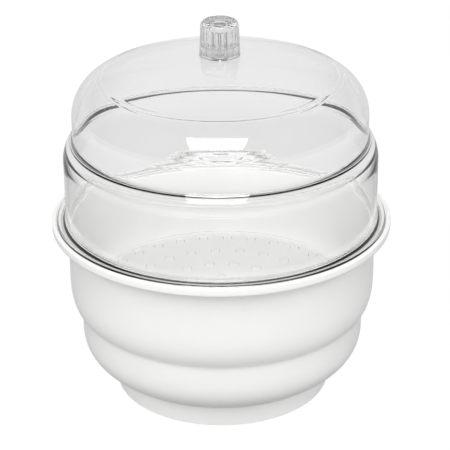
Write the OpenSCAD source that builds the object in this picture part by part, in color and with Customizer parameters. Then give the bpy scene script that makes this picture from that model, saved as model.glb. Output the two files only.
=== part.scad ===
// Laboratory desiccator: a white stepped bowl with a channelled rim, a clear two-tier
// dome cover that rests on a rim seal, a clear fluted lifting knob whose stud screws into
// the crown of the cover, and a clear perforated plate that rests on a ledge inside.
// Millimetres, +Z up. The origin is on the axis, on the bench that the foot stands on.

/* [Base bowl] */
// Height of the bowl from the bench to the top of the rim lip
base_h = 135; // [120:1:170]
// Wall thickness of the bowl
base_wall = 3; // [2:0.5:4]
// Outside diameter of the foot ring
foot_d = 161; // [130:1:180]
// Height of the foot ring
foot_h = 16; // [8:1:20]
// Outside diameter of the lower chamber, which holds the desiccant
lower_d = 211; // [190:1:220]
// Height of the outside step between the lower and the upper chamber
step_z = 64.5; // [58:0.5:76]
// Outside diameter of the upper chamber
upper_d = 227; // [222:1:280]
// Overhang of the upper chamber over the lower one at the step
step_w = 3; // [2.5:0.5:5]

/* [Rim] */
// How far the rim stands out from the upper chamber
rim_out = 11.5; // [10:0.5:16]
// Height of the rim's outside face
rim_h = 7; // [5.5:0.5:12]
// Width of the lip that surrounds the cover's flange
lip_w = 2.8; // [2:0.2:4]

/* [Rim seal] */
// Section diameter of the seal ring
seal_d = 2.6; // [2.4:0.1:3.2]
// Height of the squeezed seal ring
seal_h = 2.2; // [2:0.1:2.4]
// Depth of the seal groove
groove_depth = 1.8; // [1.5:0.1:1.9]

/* [Cover] */
// Wall thickness of the cover
cover_wall = 3; // [2:0.5:4]
// Thickness of the cover's flange
flange_t = 2.5; // [2:0.5:4]
// Width of the flange outside the cover's wall
flange_w = 6.8; // [6:0.2:8.2]
// Height of the lower tier, from the top of the flange to the step
tier_h = 61.5; // [45:0.5:90]
// Radius of the rounded shoulder at the top of the lower tier
shoulder_r = 24; // [18:1:30]
// Inset of the upper tier from the lower tier's wall
tier_inset = 7.4; // [6:0.2:9]
// Height of the crown above the step
dome_h = 62.6; // [55:0.2:90]
// Radius of the round corner between the dome's side and its crown
corner_r = 30.5; // [24:0.5:36]
// Radius of the crown's curve
crown_r = 239; // [200:1:320]

/* [Plate] */
// Thickness of the perforated plate
plate_t = 3; // [2:0.5:5]
// Radial gap between the plate and the bowl
plate_gap = 0.5; // [0.3:0.1:1]
// Diameter of the plate's perforations
hole_d = 7; // [4:0.5:9]
// Diameter of the finger hole in the middle of the plate
finger_d = 22; // [18:1:28]
// Number of rings of perforations
hole_rings = 4; // [2:1:4]

/* [Knob] */
// Diameter of the knob over its ribs, at its lower end
knob_d = 29; // [24:0.2:36]
// Taper of the knob's side, in degrees
knob_draft = 2.2; // [0:0.2:4]
// Height of the knob
knob_h = 23.6; // [19:0.2:32]
// Number of flutes around the knob
flute_count = 28; // [20:2:30]
// Radius of one flute
flute_r = 1.3; // [1:0.1:1.5]
// Depth of one flute
flute_depth = 0.9; // [0.5:0.1:1]
// Diameter of the threaded stud
stud_d = 8.6; // [6:0.2:14]
// Depth of the stud's socket in the knob
socket_depth = 16; // [12:0.5:18]
// Thickness of the gasket between the knob and the cover
gasket_t = 1.6; // [1:0.2:2.4]

/* [Hidden] */
$fn = 96;

// Gap between parts that rest on each other but move apart
rest_gap = 0.05;
// Radial running clearance of the stud in the crown's hole and in the knob's socket
thread_gap = 0.05;
// Radial clearance of the stud in the gasket
hole_gap = 0.3;
// Radial gap between the flange and the rim's lip
lip_gap = 0.7;
// How far the squeezed seal holds the flange off the seat
flange_lift = seal_h - groove_depth + rest_gap;
// Side clearance of the seal ring in its groove
groove_gap = 0.1;
// Rounding of small moulded edges
edge_r = 0.8;

// Base bowl
foot_r = foot_d / 2;
lower_r = lower_d / 2;
upper_r = upper_d / 2;
rim_r = upper_r + rim_out;
rim_low = base_h - rim_h;
step_r = lower_r + step_w;
ledge_z = step_z + base_wall;
ledge_r = lower_r - base_wall;
upper_in = upper_r - base_wall;
// Radius at which the lower chamber's curve meets the foot ring
belly_r = foot_r + 1.7;
// Heights at which the curves of the two chambers become upright
lower_top = foot_h + 0.72 * (step_z - foot_h);
upper_top = step_z + 28;
rim_fillet = 2;
lip_in = rim_r - lip_w;

// Cover
flange_r = lip_in - lip_gap;
seat_z = base_h - flange_t - flange_lift;
flange_z = seat_z + flange_lift;
flange_top = flange_z + flange_t;
wall_r = flange_r - flange_w;
wall_in = wall_r - cover_wall;
tier_z = flange_top + tier_h;
dome_r = wall_r - tier_inset;
dome_in = dome_r - cover_wall;
crown_z = tier_z + dome_h;
// How much of the inset the rounded shoulder takes up
shoulder_in = tier_inset - 2;
shoulder_angle = acos(1 - shoulder_in / shoulder_r);
shoulder_z = tier_z - shoulder_r * sin(shoulder_angle);
// The crown's curve turns into the corner's curve at this angle from the axis
crown_angle = asin((dome_r - corner_r) / (crown_r - corner_r));
crown_centre = crown_z - crown_r;
corner_cr = (crown_r - corner_r) * sin(crown_angle);
corner_cz = crown_centre + (crown_r - corner_r) * cos(crown_angle);

// Seal ring, halfway between the bowl's inner wall and the lip
groove_w = seal_d + 2 * groove_gap;
seal_r = (wall_in + flange_r) / 2;

// Knob stack, which stands on a low flat pad on the crown
knob_r = knob_d / 2;
gasket_r = knob_r - 0.1;
pad_r = gasket_r + 0.3;
pad_z = crown_z - pad_r * pad_r / (2 * crown_r) + 0.2;
gasket_z = pad_z;
knob_z = gasket_z + gasket_t + rest_gap;
knob_top = knob_z + knob_h;
// Rounding of the knob's upper edge and radius of its side just below it
knob_edge = 4.4;
knob_top_r = knob_r - (knob_h - knob_edge) * tan(knob_draft);
stud_r = stud_d / 2;
hole_r = stud_r + thread_gap;
// The stud ends level with the inside of the crown
stud_low = crown_z - cover_wall;

// Plate
plate_r = step_r - base_wall - plate_gap;
plate_z = ledge_z + rest_gap;
// Outermost ring of perforations, clear of the ledge that the plate rests on
ring_out = ledge_r - hole_d;
ring_in = finger_d / 2 + hole_d * 2;

// Points of an arc, with angles from the +r direction
function arc(cr, cz, r, a0, a1, n = 8) =
    [for (i = [0:n]) let (a = a0 + (a1 - a0) * i / n) [cr + r * cos(a), cz + r * sin(a)]];

// A curve that leaves [r0, z0] and becomes upright at [r1, z1]
function swell(r0, z0, r1, z1, power, n = 12) =
    [for (i = [0:n]) let (k = i / n) [r1 - (r1 - r0) * pow(1 - k, power), z0 + (z1 - z0) * k]];

// The same curve moved inwards along its normals by t
function swell_inside(r0, z0, r1, z1, power, t, n = 12) =
    [for (i = [0:n]) let (k = i / n,
                          p = [r1 - (r1 - r0) * pow(1 - k, power), z0 + (z1 - z0) * k],
                          dr = (r1 - r0) * power * pow(1 - k, power - 1),
                          dz = z1 - z0)
        p + t * [-dz, dr] / norm([dz, dr])];

function reversed(points) = [for (i = [len(points) - 1:-1:0]) points[i]];

// Power of the belly's curve in the lower and the upper chamber
lower_power = 3;
upper_power = 3.4;

module base_bowl() {
    outside = concat(
        [[foot_r - base_wall, 0], [foot_r, 0], [foot_r, foot_h]],
        swell(belly_r, foot_h, lower_r, lower_top, lower_power),
        [[lower_r, step_z - edge_r]],
        arc(step_r - edge_r, step_z + edge_r, edge_r, -90, -30, 3),
        swell(step_r, step_z + edge_r, upper_r, upper_top, upper_power),
        arc(upper_r + rim_fillet, rim_low - rim_fillet, rim_fillet, 180, 90, 4),
        arc(rim_r - rim_fillet, rim_low + rim_fillet, rim_fillet, -90, 0, 5),
        arc(rim_r - edge_r, base_h - edge_r, edge_r, 0, 90, 3),
        arc(lip_in + edge_r, base_h - edge_r, edge_r, 90, 180, 3));
    seat = [[lip_in, seat_z],
            [seal_r + groove_w / 2, seat_z], [seal_r + groove_w / 2, seat_z - groove_depth],
            [seal_r - groove_w / 2, seat_z - groove_depth], [seal_r - groove_w / 2, seat_z]];
    inside = concat(
        arc(upper_in + edge_r, seat_z - edge_r, edge_r, 90, 180, 3),
        reversed(swell(step_r - base_wall, ledge_z, upper_in, upper_top, upper_power)),
        [[ledge_r, ledge_z]],
        reversed(swell_inside(belly_r, foot_h, lower_r, lower_top, lower_power, base_wall)),
        [[0, floor_top], [0, floor_top - base_wall],
         [foot_r - base_wall, floor_top - base_wall]]);
    color("white") rotate_extrude() polygon(concat(outside, seat, inside));
}

// Top of the floor, which is level with the bottom of the chamber's inner curve
floor_top = swell_inside(belly_r, foot_h, lower_r, lower_top, lower_power, base_wall)[0][1];

module rim_seal() {
    half = seal_h / 2;
    // Angle at which the flats of the squeezed section begin
    flat = asin(seal_h / seal_d);
    section = concat(arc(seal_r, half, seal_d / 2, -flat, flat, 12),
                     arc(seal_r, half, seal_d / 2, 180 - flat, 180 + flat, 12));
    color("gainsboro") translate([0, 0, seat_z - groove_depth]) rotate_extrude() polygon(section);
}

module perforated_plate() {
    pitch = (ring_out - ring_in) / (hole_rings - 1);
    color("lightcyan", 0.5) difference() {
        translate([0, 0, plate_z]) rotate_extrude() polygon([
            [finger_d / 2, 0], [plate_r - 0.5, 0], [plate_r, 0.5],
            [plate_r, plate_t - 0.5], [plate_r - 0.5, plate_t], [finger_d / 2, plate_t]]);
        for (ring = [0:hole_rings - 1])
            let (r = ring_in + ring * pitch, count = floor(PI * r / hole_d / 1.35))
                for (i = [0:count - 1])
                    rotate(360 * (i + ring / 2) / count)
                        translate([r, 0, plate_z - 1]) cylinder(h = plate_t + 2, d = hole_d, $fn = 24);
    }
}

module cover_dome() {
    skin = concat(
        [[wall_in, flange_z], [flange_r, flange_z]],
        arc(flange_r - edge_r, flange_top - edge_r, edge_r, 0, 90, 3),
        arc(wall_r + 1.5, flange_top + 1.5, 1.5, 270, 180, 4),
        arc(wall_r - shoulder_r, shoulder_z, shoulder_r, 0, shoulder_angle, 10),
        arc(dome_r + 1, tier_z + 1.6, 1, 235, 180, 3),
        arc(corner_cr, corner_cz, corner_r, 0, 90 - crown_angle, 16),
        arc(0, crown_centre, crown_r, 90 - crown_angle, 90 - asin(pad_r / crown_r), 14),
        [[pad_r - 0.5, pad_z], [hole_r, pad_z]],
        arc(0, crown_centre, crown_r - cover_wall, 90 - asin(hole_r / (crown_r - cover_wall)),
            90 - crown_angle, 14),
        arc(corner_cr, corner_cz, corner_r - cover_wall, 90 - crown_angle, 0, 16),
        [[dome_in, tier_z]],
        arc(wall_r - shoulder_r, shoulder_z, shoulder_r - cover_wall, shoulder_angle, 0, 10));
    color("lightcyan", 0.35) rotate_extrude() polygon(skin);
}

module knob_gasket() {
    color("white", 0.6) translate([0, 0, gasket_z]) difference() {
        cylinder(h = gasket_t, r = gasket_r);
        translate([0, 0, -1]) cylinder(h = gasket_t + 2, r = stud_r + hole_gap);
    }
}

module lid_knob() {
    chamfer = 0.4;
    body = concat(
        [[0, knob_z], [knob_r - chamfer, knob_z], [knob_r, knob_z + chamfer]],
        arc(knob_top_r - knob_edge, knob_top - knob_edge, knob_edge, knob_draft, 90, 8),
        [[0, knob_top]]);
    color("lightcyan", 0.5) difference() {
        rotate_extrude() polygon(body);
        translate([0, 0, knob_z - 1]) cylinder(h = socket_depth + 1, r = hole_r);
        for (i = [0:flute_count - 1])
            rotate(360 * i / flute_count)
                translate([knob_r + flute_r - flute_depth, 0, knob_z])
                    rotate([0, -knob_draft, 0])
                        translate([0, 0, -1]) cylinder(h = knob_h + 2, r = flute_r, $fn = 24);
    }
}

module knob_stud() {
    chamfer = 0.5;
    top = knob_z + socket_depth - 0.5;
    color("lightcyan", 0.5) rotate_extrude() polygon([
        [0, stud_low], [stud_r - chamfer, stud_low], [stud_r, stud_low + chamfer],
        [stud_r, top], [0, top]]);
}

base_bowl();
rim_seal();
perforated_plate();
cover_dome();
knob_gasket();
lid_knob();
knob_stud();
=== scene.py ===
"""Looks of a laboratory desiccator: white stepped bowl, clear dome cover, fluted knob."""

import logging
import math
from dataclasses import dataclass
from enum import Enum
from typing import Callable, Iterable, Optional, Sequence, Tuple

import bmesh
import bpy
from mathutils import Matrix, Vector


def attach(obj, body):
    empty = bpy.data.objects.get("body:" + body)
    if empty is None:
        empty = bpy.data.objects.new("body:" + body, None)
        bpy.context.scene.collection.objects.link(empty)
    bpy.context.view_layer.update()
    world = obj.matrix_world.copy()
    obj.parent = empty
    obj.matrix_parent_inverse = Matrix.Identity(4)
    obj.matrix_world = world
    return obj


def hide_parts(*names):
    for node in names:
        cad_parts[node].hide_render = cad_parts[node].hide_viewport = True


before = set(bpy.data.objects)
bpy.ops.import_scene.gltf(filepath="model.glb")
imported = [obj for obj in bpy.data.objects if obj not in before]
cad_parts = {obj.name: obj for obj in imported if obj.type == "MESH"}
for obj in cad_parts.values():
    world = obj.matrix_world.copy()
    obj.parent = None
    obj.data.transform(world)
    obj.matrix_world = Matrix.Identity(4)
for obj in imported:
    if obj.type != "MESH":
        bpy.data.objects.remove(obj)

log = logging.getLogger("desiccator")

Point = Tuple[float, float]
Triple = Tuple[float, float, float]
Rgba = Tuple[float, float, float, float]
MM = 0.001
SAME_PLACE = 1e-6
NO_LENGTH = 1e-7


# ---------------------------------------------------------------- outlines


def arc(
    centre: Point, radius: float, start: float, end: float, steps: int = 8
) -> list[Point]:
    """Points of an arc in the plane of radius and height.

    Args:
        centre: radius and height of the arc's centre, in mm.
        radius: the arc's own radius, in mm.
        start: first angle from the outward direction, in degrees.
        end: last angle, in degrees.
        steps: number of straight pieces.

    Returns:
        The points from start to end.
    """
    points = []
    for i in range(steps + 1):
        angle = math.radians(start + (end - start) * i / steps)
        points.append(
            (
                centre[0] + radius * math.cos(angle),
                centre[1] + radius * math.sin(angle),
            )
        )
    return points


def swell(
    low: Point, high: Point, power: float, wall: float = 0.0, steps: int = 24
) -> list[Point]:
    """A belly that leaves low and becomes upright at high, or the line one wall inside it.

    Args:
        low: lower end, in mm.
        high: upper end, where the curve is upright, in mm.
        power: how late the curve turns out.
        wall: distance that the line is moved inwards, in mm.
        steps: number of straight pieces.

    Returns:
        The points from the lower end to the upper end.
    """
    points = []
    dr, dz = high[0] - low[0], high[1] - low[1]
    for i in range(steps + 1):
        k = i / steps
        r = high[0] - dr * (1 - k) ** power
        z = low[1] + dz * k
        slope = dr * power * (1 - k) ** (power - 1)
        length = math.hypot(dz, slope)
        points.append((r - wall * dz / length, z + wall * slope / length))
    return points


def blend(value: float, low: float, high: float, first: float, last: float) -> float:
    """The share of the way from first to last that value has gone from low to high."""
    share = min(max((value - low) / (high - low), 0.0), 1.0)
    return first + (last - first) * share


def table(value: float, rows: Sequence[Point]) -> float:
    """Reads a table of pairs at a value between its rows."""
    for (low, first), (high, last) in zip(rows, rows[1:]):
        if value <= high:
            return blend(value, low, high, first, last)
    return rows[-1][1]


def quarter(steps: int) -> list[float]:
    """Angles in radians, in equal steps from upright down to level."""
    return [math.radians(90 - 90 * i / steps) for i in range(steps + 1)]


# ---------------------------------------------------------------- meshes


def lathe(
    outline: Sequence[Point],
    steps: int,
    shape: Optional[Callable[[Vector], Vector]] = None,
) -> bmesh.types.BMesh:
    """Turns a closed outline once round the vertical axis.

    Args:
        outline: points of radius and height in mm, in order; the last one joins the first.
        steps: number of steps in the full turn.
        shape: moves each vertex after the turn, if given.

    Returns:
        A bmesh in metres with normals pointing outwards.
    """
    bm = bmesh.new()
    verts = [bm.verts.new((r * MM, 0.0, z * MM)) for r, z in outline]
    pairs = zip(verts, verts[1:] + verts[:1])
    edges = [bm.edges.new(pair) for pair in pairs if (pair[0].co - pair[1].co).length > NO_LENGTH]
    bmesh.ops.spin(
        bm,
        geom=verts + edges,
        cent=(0.0, 0.0, 0.0),
        axis=(0.0, 0.0, 1.0),
        angle=2 * math.pi,
        steps=steps,
        use_merge=True,
    )
    bmesh.ops.remove_doubles(bm, verts=bm.verts, dist=SAME_PLACE)
    bmesh.ops.dissolve_degenerate(bm, edges=bm.edges, dist=NO_LENGTH)
    if shape is not None:
        for vert in bm.verts:
            vert.co = shape(vert.co)
    bmesh.ops.recalc_face_normals(bm, faces=bm.faces)
    return bm


def soften(bm: bmesh.types.BMesh, crease: float = 32.0) -> None:
    """Shades smooth, with hard edges where faces meet at more than crease degrees."""
    limit = math.radians(crease)
    for face in bm.faces:
        face.smooth = True
    for edge in bm.edges:
        if len(edge.link_faces) == 2:
            edge.smooth = edge.calc_face_angle(0.0) < limit


def finished(name: str, bm: bmesh.types.BMesh, crease: float = 32.0) -> bpy.types.Object:
    """Makes a shown object from a bmesh.

    Args:
        name: the object's name.
        bm: the mesh, which is freed.
        crease: angle of a hard edge, in degrees.

    Returns:
        The object, at the origin, in the scene's collection.
    """
    soften(bm, crease)
    mesh = bpy.data.meshes.new(name)
    bm.to_mesh(mesh)
    bm.free()
    piece = bpy.data.objects.new(name, mesh)
    bpy.context.scene.collection.objects.link(piece)
    return piece


# ---------------------------------------------------------------- finishes


class Slot(Enum):
    """The record's material slots."""

    BOWL = "bowl_white"
    SILICONE = "silicone"
    PLATE = "plate_clear"
    COVER = "cover_clear"
    KNOB = "knob_clear"


def noise(
    tree: bpy.types.NodeTree, vector: bpy.types.NodeSocket, scale: float, detail: float
) -> bpy.types.Node:
    """Adds a noise texture.

    Args:
        tree: the node tree.
        vector: where the pattern's position comes from.
        scale: pattern repeats per metre.
        detail: number of finer layers.

    Returns:
        The node.
    """
    node = tree.nodes.new("ShaderNodeTexNoise")
    node.inputs["Scale"].default_value = scale
    node.inputs["Detail"].default_value = detail
    tree.links.new(vector, node.inputs["Vector"])
    return node


def arithmetic(
    tree: bpy.types.NodeTree,
    operation: str,
    a: "bpy.types.NodeSocket | float",
    b: "bpy.types.NodeSocket | float",
) -> bpy.types.NodeSocket:
    """Adds a maths node.

    Args:
        tree: the node tree.
        operation: the node's operation.
        a: first value or socket.
        b: second value or socket.

    Returns:
        The node's output.
    """
    node = tree.nodes.new("ShaderNodeMath")
    node.operation = operation
    for index, value in enumerate((a, b)):
        if isinstance(value, (int, float)):
            node.inputs[index].default_value = value
        else:
            tree.links.new(value, node.inputs[index])
    return node.outputs[0]


def ramp(
    tree: bpy.types.NodeTree,
    value: bpy.types.NodeSocket,
    span: Point,
    result: Point = (0.0, 1.0),
    smooth: bool = True,
) -> bpy.types.NodeSocket:
    """Adds a ramp from one value to another.

    Args:
        tree: the node tree.
        value: what runs along the ramp.
        span: where the ramp starts and ends.
        result: what it gives at its start and its end.
        smooth: True for soft ends, False for a straight ramp.

    Returns:
        The node's output.
    """
    node = tree.nodes.new("ShaderNodeMapRange")
    node.interpolation_type = "SMOOTHSTEP" if smooth else "LINEAR"
    for label, number in zip(("From Min", "From Max", "To Min", "To Max"), span + result):
        node.inputs[label].default_value = number
    tree.links.new(value, node.inputs["Value"])
    return node.outputs["Result"]


def new_group(
    name: str, inputs: Iterable[Tuple[str, float]], outputs: Iterable[str]
) -> bpy.types.NodeTree:
    """Starts a shader node group with float sockets and a position input.

    Args:
        name: the group's name.
        inputs: names and first values of its inputs.
        outputs: names of its outputs.

    Returns:
        The empty group.
    """
    tree = bpy.data.node_groups.new(name, "ShaderNodeTree")
    tree.interface.new_socket("Position", in_out="INPUT", socket_type="NodeSocketVector")
    for label, value in inputs:
        socket = tree.interface.new_socket(label, in_out="INPUT", socket_type="NodeSocketFloat")
        socket.default_value = value
    for label in outputs:
        tree.interface.new_socket(label, in_out="OUTPUT", socket_type="NodeSocketFloat")
    return tree


def add_group(
    tree: bpy.types.NodeTree, group: bpy.types.NodeTree, values: Iterable[Tuple[str, float]]
) -> bpy.types.Node:
    """Adds a shared group to a material, placed by the piece's own coordinates.

    Args:
        tree: the material's node tree.
        group: the shared group.
        values: names and values of the group's inputs.

    Returns:
        The group's node.
    """
    place = tree.nodes.new("ShaderNodeTexCoord")
    node = tree.nodes.new("ShaderNodeGroup")
    node.node_tree = group
    for label, value in values:
        node.inputs[label].default_value = value
    tree.links.new(place.outputs["Object"], node.inputs["Position"])
    return node


@dataclass(frozen=True)
class MouldedSkin:
    """A moulded surface: slow sink waves and the fine grain of the mould."""

    wave_scale: float = 22.0
    wave_detail: float = 1.0
    grain_scale: float = 2600.0
    grain_detail: float = 2.0

    def group(self) -> bpy.types.NodeTree:
        """Builds the group, which puts out the surface's height."""
        tree = new_group("moulded_skin", [("Wave", 1.0), ("Grain", 0.1)], ["Height"])
        start = tree.nodes.new("NodeGroupInput")
        end = tree.nodes.new("NodeGroupOutput")
        place = start.outputs["Position"]
        wave = noise(tree, place, self.wave_scale, self.wave_detail)
        grain = noise(tree, place, self.grain_scale, self.grain_detail)
        slow = arithmetic(tree, "MULTIPLY", wave.outputs["Fac"], start.outputs["Wave"])
        fine = arithmetic(tree, "MULTIPLY", grain.outputs["Fac"], start.outputs["Grain"])
        tree.links.new(arithmetic(tree, "ADD", slow, fine), end.inputs["Height"])
        return tree


@dataclass(frozen=True)
class Handling:
    """Faint smears and hairline rubs that dull the gloss a little."""

    smear_scale: float = 38.0
    smear_detail: float = 5.0
    smear_span: Point = (0.45, 0.75)
    rub_scale: float = 120.0
    rub_detail: float = 6.0
    rub_span: Point = (0.62, 0.72)
    rub_stretch: Triple = (1.0, 1.0, 14.0)
    rub_turn: Triple = (0.3, 0.2, 0.0)

    def group(self) -> bpy.types.NodeTree:
        """Builds the group, which puts out the roughness and a mask of the smears."""
        tree = new_group(
            "handling", [("Smear", 0.02), ("Rubs", 0.02), ("Base", 0.05)], ["Roughness", "Mask"]
        )
        start = tree.nodes.new("NodeGroupInput")
        end = tree.nodes.new("NodeGroupOutput")
        place = start.outputs["Position"]
        smear = noise(tree, place, self.smear_scale, self.smear_detail)
        patches = ramp(tree, smear.outputs["Fac"], self.smear_span, smooth=False)
        stretch = tree.nodes.new("ShaderNodeMapping")
        stretch.inputs["Scale"].default_value = self.rub_stretch
        stretch.inputs["Rotation"].default_value = self.rub_turn
        tree.links.new(place, stretch.inputs["Vector"])
        rubs = noise(tree, stretch.outputs["Vector"], self.rub_scale, self.rub_detail)
        hairlines = ramp(tree, rubs.outputs["Fac"], self.rub_span, smooth=False)
        dull = arithmetic(tree, "MULTIPLY", patches, start.outputs["Smear"])
        lines = arithmetic(tree, "MULTIPLY", hairlines, start.outputs["Rubs"])
        marks = arithmetic(tree, "ADD", dull, lines)
        total = arithmetic(tree, "ADD", marks, start.outputs["Base"])
        tree.links.new(total, end.inputs["Roughness"])
        tree.links.new(patches, end.inputs["Mask"])
        return tree


@dataclass(frozen=True)
class SharedEffects:
    """The node groups that several materials use."""

    skin: bpy.types.NodeTree
    handling: bpy.types.NodeTree

    @classmethod
    def build(cls) -> "SharedEffects":
        """Builds each group once."""
        return cls(skin=MouldedSkin().group(), handling=Handling().group())

    def mould(self, tree: bpy.types.NodeTree, wave: float, grain: float, depth: float) -> None:
        """Presses the moulded skin into a material's surface.

        Args:
            tree: the material's node tree.
            wave: share of the slow waves.
            grain: share of the fine grain.
            depth: how deep the skin goes, in metres.
        """
        skin = add_group(tree, self.skin, [("Wave", wave), ("Grain", grain)])
        bump = tree.nodes.new("ShaderNodeBump")
        bump.inputs["Strength"].default_value = 1.0
        bump.inputs["Distance"].default_value = depth
        tree.links.new(skin.outputs["Height"], bump.inputs["Height"])
        tree.links.new(bump.outputs["Normal"], tree.nodes["Principled BSDF"].inputs["Normal"])


@dataclass(frozen=True)
class ClearPlastic:
    """Polished transparent plastic with moulding waves.

    Attributes:
        name: the material's name.
        tint: colour of what it lets through.
        ior: how strongly it bends light.
        roughness: 0 for polished.
        wave: depth of the moulding waves, in metres.
        lamp_share: what lamps and diffuse light keep on their straight way through it.
    """

    name: str
    tint: Rgba = (0.995, 0.997, 0.996, 1.0)
    ior: float = 1.55
    roughness: float = 0.0
    wave: float = 0.0
    lamp_share: Rgba = (0.985, 0.985, 0.985, 1.0)

    def build(self, effects: SharedEffects) -> bpy.types.Material:
        """Makes the material.

        Args:
            effects: the shared node groups.

        Returns:
            The material.
        """
        material = bpy.data.materials.new(self.name)
        material.use_nodes = True
        tree = material.node_tree
        shader = tree.nodes["Principled BSDF"]
        shader.inputs["Base Color"].default_value = self.tint
        shader.inputs["Transmission Weight"].default_value = 1.0
        shader.inputs["IOR"].default_value = self.ior
        shader.inputs["Roughness"].default_value = self.roughness
        effects.mould(tree, wave=1.0, grain=0.0, depth=self.wave)
        path = tree.nodes.new("ShaderNodeLightPath")
        passing = tree.nodes.new("ShaderNodeBsdfTransparent")
        passing.inputs["Color"].default_value = self.lamp_share
        surface = shader.outputs["BSDF"]
        for ray in ("Is Shadow Ray", "Is Diffuse Ray"):
            either = tree.nodes.new("ShaderNodeMixShader")
            tree.links.new(path.outputs[ray], either.inputs["Fac"])
            tree.links.new(surface, either.inputs[1])
            tree.links.new(passing.outputs["BSDF"], either.inputs[2])
            surface = either.outputs["Shader"]
        tree.links.new(surface, tree.nodes["Material Output"].inputs["Surface"])
        return material


@dataclass(frozen=True)
class SatinPlastic:
    """Opaque moulded plastic or rubber with a soft gloss and a fine mould grain.

    Attributes:
        name: the material's name.
        colour: its clean colour.
        shade: its colour where it is smeared.
        roughness: its roughness where it is clean.
        smear: what a smear adds to the roughness.
        rubs: what a hairline rub adds to the roughness.
        grain_depth: depth of the mould grain, in metres.
    """

    name: str
    colour: Rgba
    shade: Rgba
    roughness: float
    smear: float = 0.1
    rubs: float = 0.05
    grain_depth: float = 0.00004

    def build(self, effects: SharedEffects) -> bpy.types.Material:
        """Makes the material.

        Args:
            effects: the shared node groups.

        Returns:
            The material.
        """
        material = bpy.data.materials.new(self.name)
        material.use_nodes = True
        tree = material.node_tree
        shader = tree.nodes["Principled BSDF"]
        marks = add_group(
            tree,
            effects.handling,
            [("Smear", self.smear), ("Rubs", self.rubs), ("Base", self.roughness)],
        )
        tree.links.new(marks.outputs["Roughness"], shader.inputs["Roughness"])
        mix = tree.nodes.new("ShaderNodeMix")
        mix.data_type = "RGBA"
        mix.inputs["A"].default_value = self.colour
        mix.inputs["B"].default_value = self.shade
        tree.links.new(marks.outputs["Mask"], mix.inputs["Factor"])
        tree.links.new(mix.outputs["Result"], shader.inputs["Base Color"])
        effects.mould(tree, wave=0.0, grain=1.0, depth=self.grain_depth)
        return material


def dress(piece: bpy.types.Object, material: bpy.types.Material) -> None:
    """Gives a piece one material in all of its slots."""
    if piece.material_slots:
        for place in piece.material_slots:
            place.material = material
    else:
        piece.data.materials.append(material)


def fit_in(piece: bpy.types.Object, body: str, slot: Slot, *nodes: str) -> None:
    """Puts a piece on its body in place of the frame's nodes.

    Args:
        piece: the finished object.
        body: the body that it rides on.
        slot: the record's slot for its finish; not used.
        nodes: the frame's nodes that it stands for.
    """
    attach(piece, body)
    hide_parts(*nodes)
    log.info("%s rides on %s, %d faces", piece.name, body, len(piece.data.polygons))


# ---------------------------------------------------------------- sub-assemblies


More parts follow.
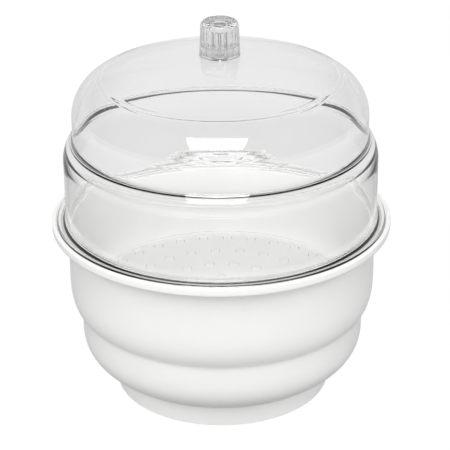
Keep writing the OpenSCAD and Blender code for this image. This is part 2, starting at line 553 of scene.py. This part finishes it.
@dataclass(frozen=True)
class Bowl:
    """The white bowl with its foot ring, two chambers and channelled rim, and the rim seal.

    All lengths are in mm. A bend says how late a belly's curve turns out.
    """

    height: float = 135.0
    wall: float = 3.0
    edge: float = 0.8
    foot_radius: float = 80.5
    foot_height: float = 16.0
    foot_edge: float = 0.5
    foot_chamfer: float = 0.3
    foot_flare: float = 1.7
    foot_ease: float = 0.2
    lower_radius: float = 105.5
    lower_share: float = 0.72
    lower_bend: float = 3.0
    step_height: float = 64.5
    step_width: float = 3.0
    ledge_chamfer: float = 0.6
    upper_radius: float = 113.5
    upper_rise: float = 28.0
    upper_bend: float = 3.4
    neck: float = 2.0
    rim_radius: float = 125.0
    rim_height: float = 7.0
    rim_under: float = 2.2
    rim_over: float = 1.4
    lip_width: float = 2.8
    lip_edge: float = 0.6
    seat_height: float = 132.05
    seal_radius: float = 116.6
    seal_width: float = 2.6
    seal_height: float = 2.2
    seal_play: float = 0.1
    seal_crease: float = 60.0
    groove_depth: float = 1.8
    turn_steps: int = 256

    def outline(self) -> list[Point]:
        """The bowl's closed outline, from the foot up the outside and down the inside."""
        foot_in = self.foot_radius - self.wall
        belly = self.foot_radius + self.foot_flare
        lower_top = self.foot_height + self.lower_share * (self.step_height - self.foot_height)
        upper_top = self.step_height + self.upper_rise
        step_radius = self.lower_radius + self.step_width
        edge, foot, neck = self.edge, self.foot_edge, self.neck
        line: list[Point] = [(foot_in, 0.0)]
        line += arc((foot_in + foot, foot), foot, 180, 270, 3)
        line += arc((self.foot_radius - edge, edge), edge, -90, 0, 4)
        line += [(self.foot_radius, self.foot_height - self.foot_chamfer)]
        line += [(self.foot_radius + self.foot_chamfer, self.foot_height)]
        line += swell(
            (belly, self.foot_height + self.foot_ease),
            (self.lower_radius, lower_top),
            self.lower_bend,
        )
        line += [(self.lower_radius, self.step_height - edge)]
        line += arc((step_radius - edge, self.step_height + edge), edge, -90, -20, 5)
        line += swell(
            (step_radius, self.step_height + edge), (self.upper_radius, upper_top), self.upper_bend
        )
        low = self.height - self.rim_height
        line += arc((self.upper_radius + neck, low - neck), neck, 180, 90, 6)
        under, over, lip = self.rim_under, self.rim_over, self.lip_edge
        lip_in = self.rim_radius - self.lip_width
        line += arc((self.rim_radius - under, low + under), under, -90, 0, 8)
        line += arc((self.rim_radius - over, self.height - over), over, 0, 90, 8)
        line += arc((lip_in + lip, self.height - lip), lip, 90, 180, 5)
        line += [(lip_in, self.seat_height)]
        line += self.groove()
        inner = self.upper_radius - self.wall
        line += arc((inner + edge, self.seat_height - edge), edge, 90, 180, 5)
        ledge = self.step_height + self.wall
        upper = swell((step_radius - self.wall, ledge), (inner, upper_top), self.upper_bend)
        line += reversed(upper)
        line += [(self.lower_radius - self.wall + self.ledge_chamfer, ledge)]
        line += [(self.lower_radius - self.wall, ledge - self.ledge_chamfer)]
        lower = swell(
            (belly, self.foot_height), (self.lower_radius, lower_top), self.lower_bend, self.wall
        )
        line += reversed(lower)
        floor = lower[0][1]
        line += [(0.0, floor), (0.0, floor - self.wall), (foot_in, floor - self.wall)]
        return line

    def groove(self) -> list[Point]:
        """The seal's groove in the seat, from the outside in."""
        half = self.seal_width / 2 + self.seal_play
        bottom = self.seat_height - self.groove_depth
        return [
            (self.seal_radius + half, self.seat_height),
            (self.seal_radius + half, bottom),
            (self.seal_radius - half, bottom),
            (self.seal_radius - half, self.seat_height),
        ]

    def seal_outline(self) -> list[Point]:
        """The squeezed seal's section."""
        middle = self.seat_height - self.groove_depth + self.seal_height / 2
        flat = math.degrees(math.asin(self.seal_height / self.seal_width))
        centre = (self.seal_radius, middle)
        radius = self.seal_width / 2
        outer = arc(centre, radius, -flat, flat, 8)
        return outer + arc(centre, radius, 180 - flat, 180 + flat, 8)

    def build(self, effects: SharedEffects) -> None:
        """Makes and dresses the bowl and its seal."""
        white = SatinPlastic(
            "white_polypropylene",
            colour=(0.885, 0.885, 0.878, 1.0),
            shade=(0.87, 0.871, 0.865, 1.0),
            roughness=0.36,
            smear=0.08,
        ).build(effects)
        bowl = finished("bowl", lathe(self.outline(), self.turn_steps))
        dress(bowl, white)
        fit_in(bowl, "base", Slot.BOWL, "base_bowl")
        # The seal's grey is partly its own colour and partly painted shade: it is deepened to
        # stand in for the shade under the clear flange, where the lamps pass straight through the
        # plastic.
        seal_grey_with_painted_shade = SatinPlastic(
            "seal_silicone_painted_shade",
            colour=(0.6, 0.6, 0.59, 1.0),
            shade=(0.56, 0.56, 0.55, 1.0),
            roughness=0.45,
        ).build(effects)
        ring = lathe(self.seal_outline(), self.turn_steps)
        seal = finished("seal_ring", ring, self.seal_crease)
        dress(seal, seal_grey_with_painted_shade)
        fit_in(seal, "base", Slot.SILICONE, "rim_seal")


@dataclass(frozen=True)
class Plate:
    """The clear perforated plate on the ledge between the two chambers."""

    ior: float = 1.06

    def build(self, effects: SharedEffects) -> None:
        """Dresses the frame's own plate."""
        clear = ClearPlastic("plate_plastic", ior=self.ior).build(effects)
        dress(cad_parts["perforated_plate"], clear)
        log.info("perforated_plate keeps its own shape")


@dataclass(frozen=True)
class Cover:
    """The clear two-tier dome cover with its flange.

    All lengths are in mm. The wall's thickness runs from wall_low at the flange through wall_step
    and wall_side up the dome, through corner_walls (pairs of degrees above level and thickness)
    round the corner, to wall_crown in the middle. A brace is the short distance between an arc's
    end and the next point, which keeps the shading of the flat part flat.
    """

    flange_radius: float = 121.5
    flange_low: float = 132.5
    flange_thickness: float = 2.5
    flange_under: float = 0.7
    flange_over: float = 1.8
    flange_root: float = 4.2
    wall_radius: float = 114.7
    wall_start: float = 2.0
    wall_edge: float = 0.4
    wall_low: float = 2.8
    wall_step: float = 2.2
    wall_side: float = 3.2
    corner_walls: Tuple[Point, ...] = (
        (0.0, 3.2),
        (5.3, 3.4),
        (10.5, 3.59),
        (15.8, 3.7),
        (21.0, 3.76),
        (45.0, 3.76),
        (68.4, 3.76),
    )
    wall_crown: float = 4.7
    tier_height: float = 196.5
    tier_inset: float = 7.4
    shoulder: float = 24.0
    root_width: float = 2.0
    root_height: float = 3.6
    step_clear: float = 7.6
    inner_drop: float = 2.2
    corner: float = 30.5
    crown: float = 239.0
    crown_height: float = 259.1
    pad_radius: float = 14.7
    pad_edge: float = 0.2
    hole_radius: float = 4.35
    hole_clear: float = 0.3
    brace: float = 0.15
    seam_radius: float = 86.0
    seam_depth: float = 0.12
    seam_width: float = 0.9
    seam_clear: float = 2.7
    seam_near: float = 0.6
    seam_far: float = 0.7
    tier_steps: int = 6
    shoulder_steps: int = 24
    root_steps: int = 16
    side_steps: int = 4
    corner_steps: int = 48
    rim_steps: int = 3
    seam_steps: int = 12
    crown_steps: int = 30
    ledge_steps: int = 12
    turn_steps: int = 320

    @property
    def flange_top(self) -> float:
        """Height of the flange's upper face."""
        return self.flange_low + self.flange_thickness

    @property
    def dome(self) -> float:
        """Radius of the dome's upright side."""
        return self.wall_radius - self.tier_inset

    @property
    def shoulder_turn(self) -> float:
        """What the shoulder's arc turns through, in degrees."""
        inset = self.tier_inset - self.root_width
        return math.degrees(math.acos(1 - inset / self.shoulder))

    @property
    def shoulder_low(self) -> float:
        """Height where the shoulder's arc starts."""
        return self.tier_height - self.shoulder * math.sin(math.radians(self.shoulder_turn))

    @property
    def slope(self) -> float:
        """Sine of the crown's slope where it meets the corner."""
        return (self.dome - self.corner) / (self.crown - self.corner)

    @property
    def tilt(self) -> float:
        """The crown's slope where it meets the corner, in degrees."""
        return math.degrees(math.asin(self.slope))

    @property
    def crown_centre(self) -> Point:
        """Centre of the crown's arc."""
        return 0.0, self.crown_height - self.crown

    @property
    def corner_centre(self) -> Point:
        """Centre of the corner's arc."""
        reach = self.crown - self.corner
        rise = reach * math.cos(math.radians(self.tilt))
        return reach * self.slope, self.crown_centre[1] + rise

    def skin(self) -> list[Point]:
        """The cover's outer line, from just above the flange to the pad."""
        top, low = self.flange_top, self.shoulder_low
        start = top + self.wall_start
        line: list[Point] = [
            (self.wall_radius, start + (low - top - self.wall_start) * i / self.tier_steps)
            for i in range(self.tier_steps)
        ]
        centre = (self.wall_radius - self.shoulder, low)
        line += arc(centre, self.shoulder, 0, self.shoulder_turn, self.shoulder_steps)
        line += self.root(line[-1])
        upright = line[-1][1] + self.brace
        rise = self.corner_centre[1] - upright
        line += [(self.dome, upright)]
        line += [
            (self.dome, upright + rise * i / self.side_steps) for i in range(1, self.side_steps)
        ]
        line += arc(self.corner_centre, self.corner, 0, 90 - self.tilt, self.corner_steps)
        seam = math.degrees(math.acos(self.seam_radius / self.crown))
        pad = math.degrees(math.asin(self.pad_radius / self.crown))
        centre, near, far = self.crown_centre, self.seam_near, self.seam_far
        line += arc(centre, self.crown, 90 - self.tilt, seam - far, self.rim_steps)[1:]
        line += self.seamed(arc(centre, self.crown, seam - near, seam + near, self.seam_steps))
        line += arc(centre, self.crown, seam + far, 90 - pad, self.crown_steps)
        return line

    def root(self, low: Point) -> list[Point]:
        """The hollow oval root of the dome's side, up from the shoulder's end at low."""
        width = low[0] - self.dome
        return [
            (low[0] - width * math.cos(turn), low[1] + self.root_height * (1 - math.sin(turn)))
            for turn in quarter(self.root_steps)[1:]
        ]

    def seamed(self, line: list[Point]) -> list[Point]:
        """Presses the fine ring of the mould's insert into the crown's line."""
        return [
            (r, z - self.seam_depth * math.exp(-(((r - self.seam_radius) / self.seam_width) ** 2)))
            for r, z in line
        ]

    def wall_at(self, place: Point) -> float:
        """Thickness of the wall at a point of the outer line."""
        r, z = place
        corner_r, corner_z = self.corner_centre
        if z <= self.shoulder_low:
            return self.wall_low
        if z <= self.tier_height:
            return blend(z, self.shoulder_low, self.tier_height, self.wall_low, self.wall_step)
        if z <= corner_z:
            return blend(z, self.tier_height, corner_z, self.wall_step, self.wall_side)
        if r > corner_r + self.corner * math.sin(math.radians(self.tilt)):
            return table(math.degrees(math.atan2(z - corner_z, r - corner_r)), self.corner_walls)
        outside = self.corner_walls[-1][1]
        return blend(r, 0.0, self.crown * self.slope, self.wall_crown, outside)

    def inner(self, outer: Sequence[Point]) -> list[Point]:
        """The line one wall inside the outer one, with nothing near the step and the seam."""
        line = []
        for i, (r, z) in enumerate(outer):
            if self.tier_height - self.step_clear < z < self.tier_height + self.root_height:
                continue
            if abs(r - self.seam_radius) < self.seam_clear and z > self.tier_height:
                continue
            before, after = outer[max(i - 1, 0)], outer[min(i + 1, len(outer) - 1)]
            dr, dz = after[0] - before[0], after[1] - before[1]
            length = math.hypot(dr, dz)
            wall = self.wall_at((r, z))
            line.append((r - wall * dz / length, z + wall * dr / length))
        return line

    def ledge(self, low: Point) -> list[Point]:
        """The rounded inside of the step, from the dome's inside down to low."""
        side = self.dome - self.wall_step
        rise = self.tier_height - self.inner_drop - low[1]
        return [
            (side + (low[0] - side) * math.cos(turn), low[1] + rise * math.sin(turn))
            for turn in quarter(self.ledge_steps)
        ]

    def outline(self) -> list[Point]:
        """The cover's closed outline, outside up and inside down."""
        top, root = self.flange_top, self.flange_root
        under, over, edge = self.flange_under, self.flange_over, self.wall_edge
        bore = self.wall_radius - self.wall_low
        line = arc((bore + edge, self.flange_low + edge), edge, 180, 270, 3)
        line += arc((self.flange_radius - under, self.flange_low + under), under, -90, 0, 5)
        line += arc((self.flange_radius - over, top - over), over, 0, 90, 8)
        line += arc((self.wall_radius + root, top + root), root, 270, 180, 12)
        line += [(self.wall_radius, top + root + self.brace)]
        outer = self.skin()
        line += [p for p in outer if p[1] > top + root + 2 * self.brace]
        pad = self.crown_height - self.pad_radius**2 / (2 * self.crown) + self.pad_edge
        line += [(self.pad_radius - self.pad_edge, pad), (self.hole_radius, pad)]
        line += [(self.hole_radius, self.crown_height - self.wall_crown)]
        inner = self.inner(outer)[::-1]
        reach = self.hole_radius + self.hole_clear
        line += [p for p in inner if p[0] > reach and p[1] > self.tier_height]
        low = next(p for p in inner if p[1] < self.tier_height)
        line += self.ledge(low)
        line += [(low[0], low[1] - self.brace)]
        line += [p for p in inner if p[1] < low[1] - 2 * self.brace]
        line += [(bore, self.flange_low + edge + self.brace)]
        return line

    def build(self, effects: SharedEffects) -> None:
        """Makes and dresses the cover."""
        clear = ClearPlastic("cover_plastic", wave=0.00008).build(effects)
        cover = finished("cover", lathe(self.outline(), self.turn_steps))
        dress(cover, clear)
        fit_in(cover, "cover", Slot.COVER, "cover_dome")


@dataclass(frozen=True)
class Knob:
    """The fluted knob on its stud and the gasket under it.

    All lengths are in mm, and the draft is in degrees.
    """

    low: float = 260.46
    height: float = 23.6
    radius: float = 14.5
    draft: float = 2.2
    edge: float = 4.4
    foot_edge: float = 0.4
    side_steps: int = 16
    flutes: int = 28
    flute_steps: int = 12
    flute_radius: float = 1.3
    flute_depth: float = 0.5
    socket_radius: float = 4.35
    socket_depth: float = 16.0
    socket_edge: float = 0.5
    socket_clear: float = 0.2
    recess_inner: float = 6.0
    recess_outer: float = 12.4
    recess_depth: float = 5.5
    recess_edge: float = 0.6
    crease: float = 50.0

    def outline(self) -> list[Point]:
        """The knob's outline before it is fluted, socket included."""
        slope = math.tan(math.radians(self.draft))
        top_radius = self.radius - (self.height - self.edge) * slope
        top = self.low + self.height
        roof = self.low + self.recess_depth
        edge, foot = self.recess_edge, self.foot_edge
        line: list[Point] = [(self.socket_radius, self.low), (self.recess_inner, self.low)]
        line += arc((self.recess_inner + edge, roof - edge), edge, 180, 90, 4)
        line += arc((self.recess_outer - edge, roof - edge), edge, 90, 0, 4)
        line += [(self.recess_outer, self.low)]
        line += [(self.radius - foot, self.low), (self.radius, self.low + foot)]
        for i in range(1, self.side_steps):
            z = self.low + foot + (self.height - self.edge - foot) * (i / self.side_steps)
            line.append((self.radius - (z - self.low) * slope, z))
        line += arc((top_radius - self.edge, top - self.edge), self.edge, self.draft, 90, 16)
        socket = self.low + self.socket_depth
        line += [(0.0, top), (0.0, socket)]
        line += [(self.socket_radius - self.socket_edge, socket)]
        line += [(self.socket_radius, socket - self.socket_edge)]
        return line

    def fluted(self, place: Vector) -> Vector:
        """Presses the flutes into a point of the knob's side.

        Args:
            place: the point, in metres.

        Returns:
            The point, nearer to the axis if it lies in a flute.
        """
        radius = math.hypot(place.x, place.y) / MM
        if radius < self.socket_radius + self.socket_clear:
            return place
        height = place.z / MM - self.low
        side = self.radius - height * math.tan(math.radians(self.draft))
        pitch = 2 * math.pi / self.flutes
        angle = math.atan2(place.y, place.x)
        offset = (angle + pitch / 2) % pitch - pitch / 2
        centre = side + self.flute_radius - self.flute_depth
        across = centre * math.sin(offset)
        if abs(across) >= self.flute_radius:
            return place
        limit = centre * math.cos(offset) - math.sqrt(self.flute_radius**2 - across**2)
        if radius <= limit:
            return place
        share = limit / radius
        return Vector((place.x * share, place.y * share, place.z))

    def build(self, effects: SharedEffects) -> None:
        """Makes and dresses the knob, the stud and the gasket."""
        clear = ClearPlastic("knob_plastic").build(effects)
        body = lathe(self.outline(), self.flutes * self.flute_steps, self.fluted)
        knob = finished("knob", body, self.crease)
        dress(knob, clear)
        fit_in(knob, "knob", Slot.KNOB, "lid_knob")
        dress(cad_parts["knob_stud"], clear)
        soft = ClearPlastic(
            "gasket_silicone", tint=(0.95, 0.95, 0.945, 1.0), ior=1.41, roughness=0.12
        ).build(effects)
        dress(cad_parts["knob_gasket"], soft)


# ---------------------------------------------------------------- studio


@dataclass(frozen=True)
class Lamp:
    """A soft rectangular lamp that faces the object.

    Attributes:
        name: the lamp's name.
        place: its position, in metres.
        size: its width and height, in metres.
        power: its power, in watts.
        seen: True if it shows in reflections.
    """

    name: str
    place: Triple
    size: Point
    power: float
    seen: bool = False

    def build(self, aim_height: float) -> None:
        """Adds the lamp, turned to the point of the axis at aim_height."""
        data = bpy.data.lights.new(self.name, "AREA")
        data.shape = "RECTANGLE"
        data.size, data.size_y = self.size
        data.energy = self.power
        lamp = bpy.data.objects.new(self.name, data)
        aim = Vector((0.0, 0.0, aim_height)) - Vector(self.place)
        lamp.matrix_world = (
            Matrix.Translation(self.place) @ aim.to_track_quat("-Z", "Y").to_matrix().to_4x4()
        )
        lamp.visible_camera = False
        lamp.visible_glossy = self.seen
        lamp.visible_transmission = self.seen
        bpy.context.scene.collection.objects.link(lamp)


LAMPS: Tuple[Lamp, ...] = (
    Lamp("front_softbox", (-0.1, -1.6, 1.9), (1.56, 1.28), 26.0, seen=True),
    Lamp("overhead", (0.0, 0.3, 2.2), (2.4, 2.4), 13.0),
    Lamp("left_side", (-2.0, -0.6, 1.3), (1.4, 1.2), 15.5),
    Lamp("right_side", (2.0, -0.6, 1.3), (1.4, 1.2), 15.5),
    Lamp("front_high", (0.0, -2.2, 1.2), (1.6, 1.0), 14.0),
    Lamp("left_fill", (-2.2, -0.9, 0.3), (1.6, 0.55), 6.0),
    Lamp("right_fill", (2.2, -0.9, 0.3), (1.6, 0.55), 6.0),
    Lamp("front_fill", (0.0, -2.6, 0.25), (2.0, 0.44), 15.5),
    Lamp("back_fill", (0.0, 2.6, 0.3), (2.0, 0.5), 14.0),
)


@dataclass(frozen=True)
class Studio:
    """Camera, white floor, soft lights and a plain surround.

    Lengths are in metres and angles in radians. The camera sees the floor and the surround plain
    white. Everything else sees the floor bright behind the object and far from it, and the
    surround bright behind the object and dark in front. A span says where a change starts and
    ends, and a light how bright it is there.
    """

    distance: float = 1.2847
    elevation: float = 0.4384
    aim_height: float = 0.1244
    roll: float = -0.0086
    turn: float = -0.0023
    focal: float = 138.24
    sensor: float = 36.0
    clip: Point = (0.05, 60.0)
    floor_size: float = 6.0
    floor_grey: Rgba = (0.02, 0.02, 0.02, 1.0)
    depth_span: Point = (-0.35, 0.4)
    depth_light: Point = (0.12, 0.85)
    side_span: Point = (0.06, 0.45)
    side_light: Point = (1.0, 0.45)
    ring_span: Point = (0.4, 0.7)
    ring_light: Point = (0.0, 0.7)
    room_span: Point = (0.18, 0.68)
    room_light: Point = (0.03, 0.77)
    lamp_aim: float = 0.15
    bounces: int = 24
    clear_bounces: int = 20
    soft_bounces: int = 8

    def camera(self) -> None:
        """Adds the camera."""
        aim = Vector((0.0, 0.0, self.aim_height))
        offset = Vector((0.0, -math.cos(self.elevation), math.sin(self.elevation)))
        place = aim + offset * self.distance
        forward = (aim - place).normalized()
        forward = Matrix.Rotation(self.turn, 3, "Z") @ forward
        right = forward.cross(Vector((0, 0, 1))).normalized()
        up = right.cross(forward)
        c, s = math.cos(self.roll), math.sin(self.roll)
        right, up = c * right + s * up, c * up - s * right
        basis = Matrix((right, up, -forward)).transposed()
        data = bpy.data.cameras.new("camera")
        data.lens = self.focal
        data.sensor_width = self.sensor
        data.clip_start, data.clip_end = self.clip
        eye = bpy.data.objects.new("camera", data)
        eye.matrix_world = Matrix.Translation(place) @ basis.to_4x4()
        bpy.context.scene.collection.objects.link(eye)
        bpy.context.scene.camera = eye

    def floor(self) -> None:
        """Adds the plain white floor."""
        bm = bmesh.new()
        bmesh.ops.create_grid(bm, x_segments=1, y_segments=1, size=self.floor_size)
        ground = finished("floor", bm)
        material = bpy.data.materials.new("floor_white")
        material.use_nodes = True
        material.cycles.emission_sampling = "NONE"
        tree = material.node_tree
        shader = tree.nodes["Principled BSDF"]
        shader.inputs["Base Color"].default_value = self.floor_grey
        shader.inputs["Roughness"].default_value = 1.0
        shader.inputs["Specular IOR Level"].default_value = 0.0
        shader.inputs["Emission Strength"].default_value = 1.0
        place = tree.nodes.new("ShaderNodeTexCoord").outputs["Object"]
        split = tree.nodes.new("ShaderNodeSeparateXYZ")
        tree.links.new(place, split.inputs["Vector"])
        depth = ramp(tree, split.outputs["Y"], self.depth_span, self.depth_light)
        across = arithmetic(tree, "ABSOLUTE", split.outputs["X"], 0.0)
        side = ramp(tree, across, self.side_span, self.side_light)
        behind = arithmetic(tree, "MULTIPLY", depth, side)
        outward = tree.nodes.new("ShaderNodeVectorMath")
        outward.operation = "LENGTH"
        tree.links.new(place, outward.inputs[0])
        ring = ramp(tree, outward.outputs["Value"], self.ring_span, self.ring_light)
        sheet = arithmetic(tree, "MAXIMUM", behind, ring)
        path = tree.nodes.new("ShaderNodeLightPath")
        shown = arithmetic(tree, "MAXIMUM", sheet, path.outputs["Is Camera Ray"])
        tree.links.new(shown, shader.inputs["Emission Color"])
        dress(ground, material)

    def world(self) -> None:
        """Adds the plain surround, bright behind the object."""
        world = bpy.data.worlds.new("surround")
        world.use_nodes = True
        bpy.context.scene.world = world
        tree = world.node_tree
        place = tree.nodes.new("ShaderNodeTexCoord")
        split = tree.nodes.new("ShaderNodeSeparateXYZ")
        tree.links.new(place.outputs["Generated"], split.inputs["Vector"])
        rise = ramp(tree, split.outputs["Y"], self.room_span, self.room_light)
        path = tree.nodes.new("ShaderNodeLightPath")
        shown = arithmetic(tree, "MAXIMUM", rise, path.outputs["Is Camera Ray"])
        tree.links.new(shown, tree.nodes["Background"].inputs["Color"])

    def build(self) -> None:
        """Sets up the whole studio."""
        self.camera()
        self.floor()
        self.world()
        for lamp in LAMPS:
            lamp.build(self.lamp_aim)
        scene = bpy.context.scene
        scene.view_settings.view_transform = "Standard"
        scene.view_settings.look = "None"
        scene.cycles.max_bounces = self.bounces
        scene.cycles.transmission_bounces = self.clear_bounces
        scene.cycles.glossy_bounces = self.soft_bounces
        scene.cycles.diffuse_bounces = self.soft_bounces
        scene.cycles.caustics_refractive = False
        scene.cycles.caustics_reflective = False


def main() -> None:
    """Builds every sub-assembly in order."""
    logging.basicConfig(level=logging.INFO, format="%(name)s: %(message)s")
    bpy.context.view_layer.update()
    Studio().build()
    effects = SharedEffects.build()
    for part in (Bowl(), Plate(), Cover(), Knob()):
        part.build(effects)


if __name__ == "__main__":
    main()
